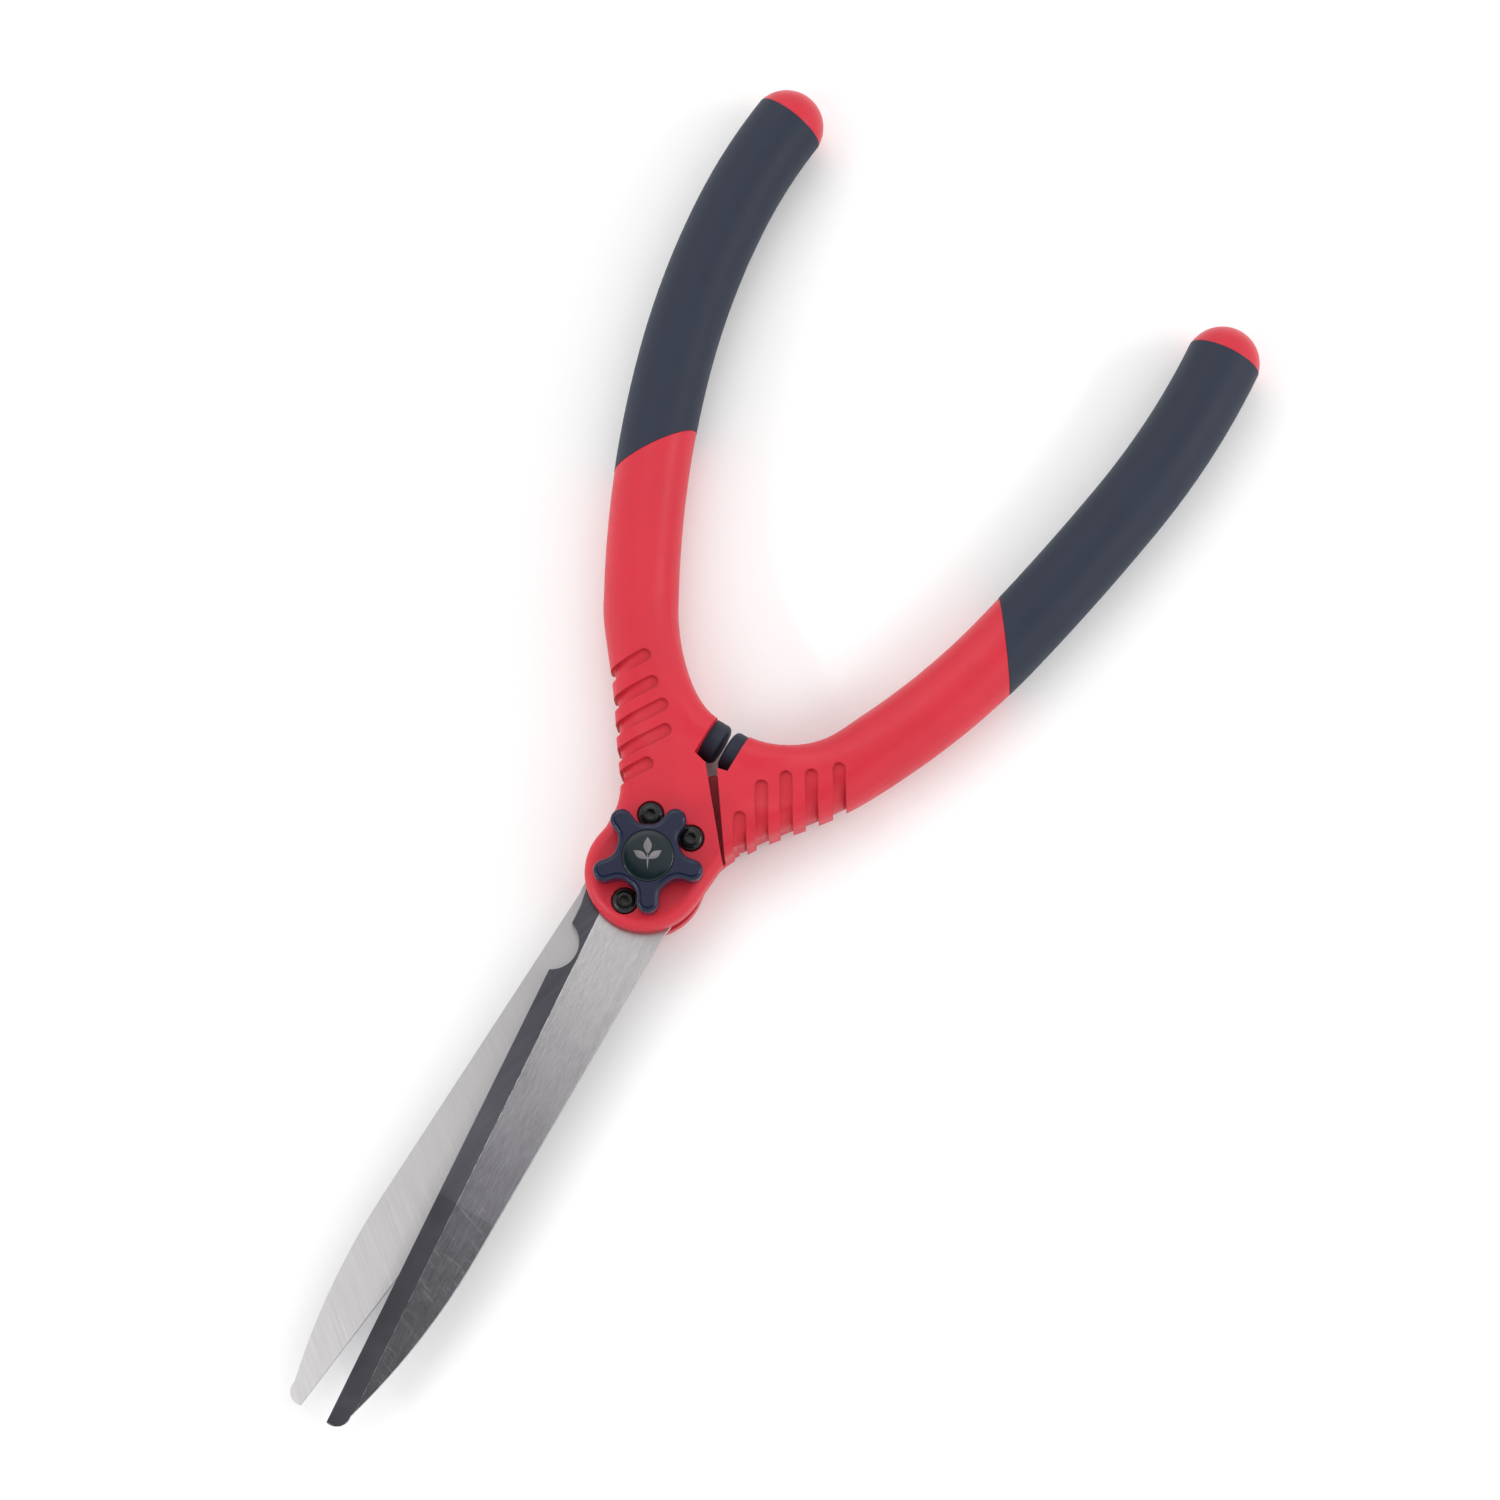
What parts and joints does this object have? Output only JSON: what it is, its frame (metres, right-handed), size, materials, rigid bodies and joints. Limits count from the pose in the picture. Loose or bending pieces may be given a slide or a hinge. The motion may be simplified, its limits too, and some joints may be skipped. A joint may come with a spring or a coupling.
{
  "type": "grass shears",
  "caption": "Hand grass shears: long crossed blades on moulded handles with soft grips, turning on a bolt under a star-shaped tension knob.",
  "frame": {"origin": "on the pivot axis, at the flat back face of the pivot bolt's head, which is in the plane that the shears rest on when they lie on a table", "axes": "+X across the shears towards the rear handle's grip, +Y along the shears from the blades to the grips, +Z along the pivot axis up through the tension knob"},
  "size_m": [0.2185, 0.5148, 0.038],
  "materials": {
    "handle_red": "satin moulded nylon, bright red",
    "grip_navy": "matte soft grip rubber, dark navy",
    "cap_red": "satin moulded plastic, bright red",
    "blade_front": "lengthwise brushed flat, dark smooth bevel, worn towards the point",
    "blade_rear": "flat ground slantwise, pale and matte",
    "screw_black": "black oxide",
    "bumper_navy": "matte rubber, dark navy",
    "bush_plastic": "natural acetal",
    "bolt_steel": "zinc plated, turned",
    "washer_steel": "plain spring steel",
    "knob_navy": "glossy moulded plastic, dark navy",
    "nut_brass": "plain brass",
    "badge_dark": "clear domed resin over a dark teal ground with a plain leaf"
  },
  "bodies": {
    "rear_half": {"rear_handle": "handle_red", "rear_grip": "grip_navy", "rear_end_cap": "cap_red", "rear_blade": "blade_rear", "rear_bumper": "bumper_navy", "rear_bush": "bush_plastic", "rear_blade_screw_1": "screw_black", "rear_blade_screw_2": "screw_black", "rear_blade_screw_3": "screw_black", "pivot_bolt": "bolt_steel"},
    "front_half": {"front_handle": "handle_red", "front_grip": "grip_navy", "front_end_cap": "cap_red", "front_blade": "blade_front", "front_bumper": "bumper_navy", "front_bush": "bush_plastic", "front_blade_screw_1": "screw_black", "front_blade_screw_2": "screw_black", "front_blade_screw_3": "screw_black", "thrust_washer": "washer_steel"},
    "washer": {"spring_washer": "washer_steel"},
    "knob": {"tension_knob": "knob_navy", "knob_nut": "nut_brass", "knob_badge": "badge_dark"}
  },
  "joints": [
    {"name": "blade_pivot", "type": "hinge", "parent": "rear_half", "child": "front_half", "pos_m": [0, 0, 0.014], "axis": [0, 0, 1], "range_deg": [-1.8, 35]},
    {"name": "knob_travel", "type": "slide", "parent": "rear_half", "child": "washer", "axis": [0, 0, 1], "range_m": [0, 0.00125]},
    {"name": "knob_turn", "type": "hinge", "parent": "washer", "child": "knob", "pos_m": [0, 0, 0.034], "axis": [0, 0, 1], "range_deg": [0, 360]}
  ],
  "couplings": [
    {"joint": "knob_travel", "follows": "knob_turn", "m_per_rad": 0.00019894}
  ]
}
